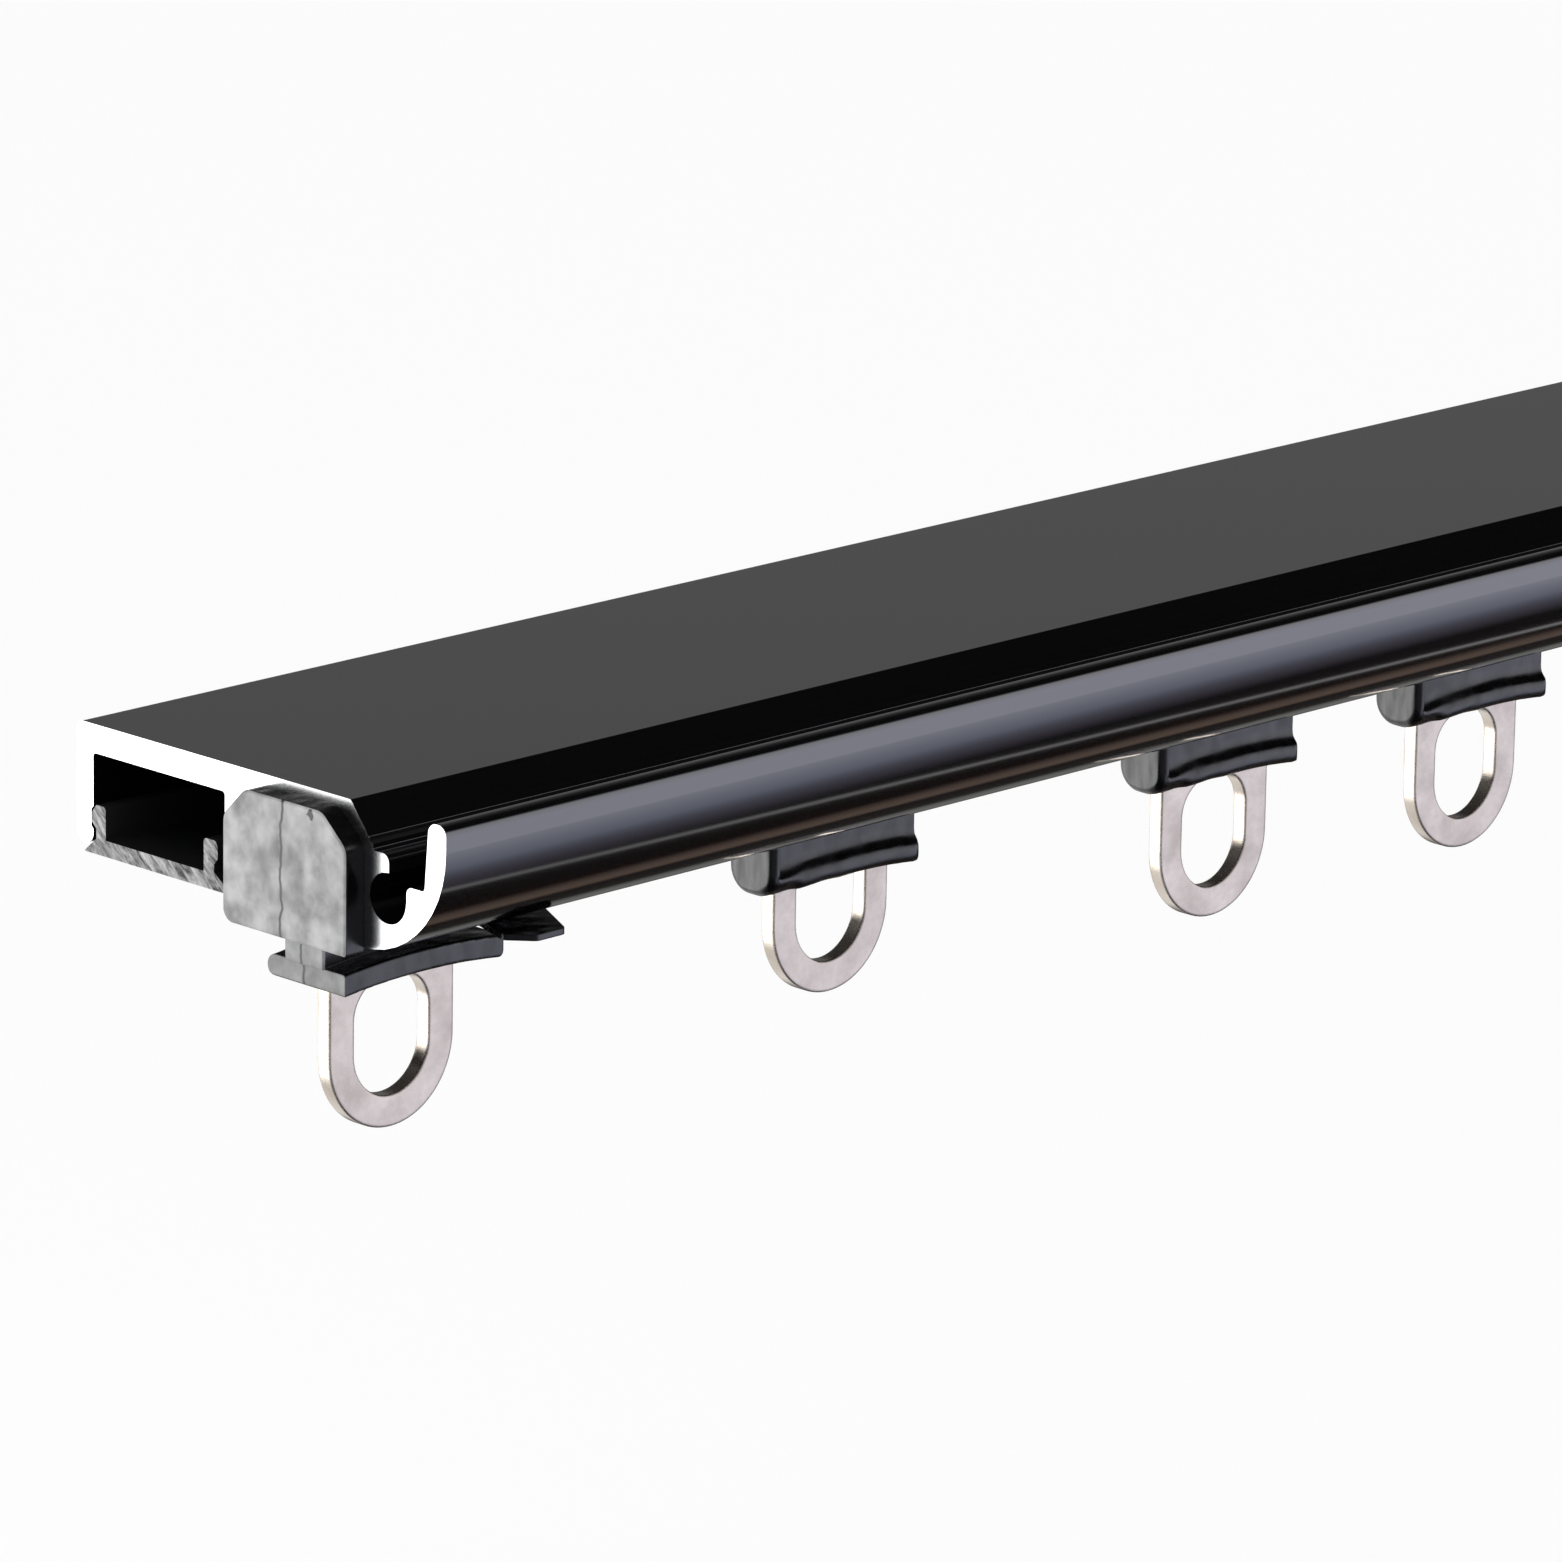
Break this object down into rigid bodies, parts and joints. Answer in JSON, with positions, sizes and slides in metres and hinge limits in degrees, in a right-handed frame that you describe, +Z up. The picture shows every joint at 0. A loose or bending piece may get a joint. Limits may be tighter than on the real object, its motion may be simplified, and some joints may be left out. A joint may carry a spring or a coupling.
{
  "type": "curtain track",
  "caption": "Black aluminium curtain track with a back box, a glider channel and a rounded front lip; gliders with steel eyes slide between end stops with twist locks.",
  "frame": {"origin": "on the ceiling face, over the middle of the glider slot, halfway along the rail", "axes": "+X along the rail, -Y towards the rounded front lip, +Z up to the ceiling"},
  "size_m": [0.3046, 0.05, 0.0358],
  "materials": {
    "rail_metal": "satin black coating on extruded aluminium",
    "strip_plastic": "extruded, rough sawn ends",
    "black_nylon": "injection moulded, satin",
    "eye_steel": "stamped and tumbled",
    "pin_steel": "drawn"
  },
  "bodies": {
    "track": {"rail": "rail_metal", "cover_strip": "strip_plastic", "left_stop_body": "black_nylon", "left_stop_eye": "eye_steel", "left_stop_pin": "pin_steel", "right_stop_body": "black_nylon", "right_stop_eye": "eye_steel", "right_stop_pin": "pin_steel"},
    "left_lock": {"left_lock_lever": "black_nylon", "left_lock_washer": "pin_steel"},
    "right_lock": {"right_lock_lever": "black_nylon", "right_lock_washer": "pin_steel"},
    "glider_1": {"glider_1_body": "black_nylon", "glider_1_pin": "pin_steel"},
    "eye_1": {"glider_1_eye": "eye_steel"},
    "glider_2": {"glider_2_body": "black_nylon", "glider_2_pin": "pin_steel"},
    "eye_2": {"glider_2_eye": "eye_steel"},
    "glider_3": {"glider_3_body": "black_nylon", "glider_3_pin": "pin_steel"},
    "eye_3": {"glider_3_eye": "eye_steel"},
    "glider_4": {"glider_4_body": "black_nylon", "glider_4_pin": "pin_steel"},
    "eye_4": {"glider_4_eye": "eye_steel"},
    "glider_5": {"glider_5_body": "black_nylon", "glider_5_pin": "pin_steel"},
    "eye_5": {"glider_5_eye": "eye_steel"}
  },
  "joints": [
    {"name": "glider_1_slide", "type": "slide", "parent": "track", "child": "glider_1", "axis": [1, 0, 0], "range_m": [-0.0291, 0.0167]},
    {"name": "eye_1_float", "type": "slide", "parent": "glider_1", "child": "eye_1", "axis": [0, 0, 1], "range_m": [-0.003, 0]},
    {"name": "glider_2_slide", "type": "slide", "parent": "track", "child": "glider_2", "axis": [1, 0, 0], "range_m": [-0.0167, 0.0086]},
    {"name": "eye_2_float", "type": "slide", "parent": "glider_2", "child": "eye_2", "axis": [0, 0, 1], "range_m": [0, 0.003]},
    {"name": "glider_3_slide", "type": "slide", "parent": "track", "child": "glider_3", "axis": [1, 0, 0], "range_m": [-0.0086, 0.0089]},
    {"name": "eye_3_float", "type": "slide", "parent": "glider_3", "child": "eye_3", "axis": [0, 0, 1], "range_m": [0, 0.003]},
    {"name": "glider_4_slide", "type": "slide", "parent": "track", "child": "glider_4", "axis": [1, 0, 0], "range_m": [-0.0089, 0.0101]},
    {"name": "eye_4_float", "type": "slide", "parent": "glider_4", "child": "eye_4", "axis": [0, 0, 1], "range_m": [0, 0.003]},
    {"name": "glider_5_slide", "type": "slide", "parent": "track", "child": "glider_5", "axis": [1, 0, 0], "range_m": [-0.0101, 0.0214]},
    {"name": "eye_5_float", "type": "slide", "parent": "glider_5", "child": "eye_5", "axis": [0, 0, 1], "range_m": [0, 0.003]},
    {"name": "left_lock_turn", "type": "hinge", "parent": "track", "child": "left_lock", "pos_m": [-0.127, 0, -0.01], "axis": [0, 0, 1], "range_deg": [0, 90]},
    {"name": "right_lock_turn", "type": "hinge", "parent": "track", "child": "right_lock", "pos_m": [0.127, 0, -0.01], "axis": [0, 0, 1], "range_deg": [-90, 0]}
  ]
}
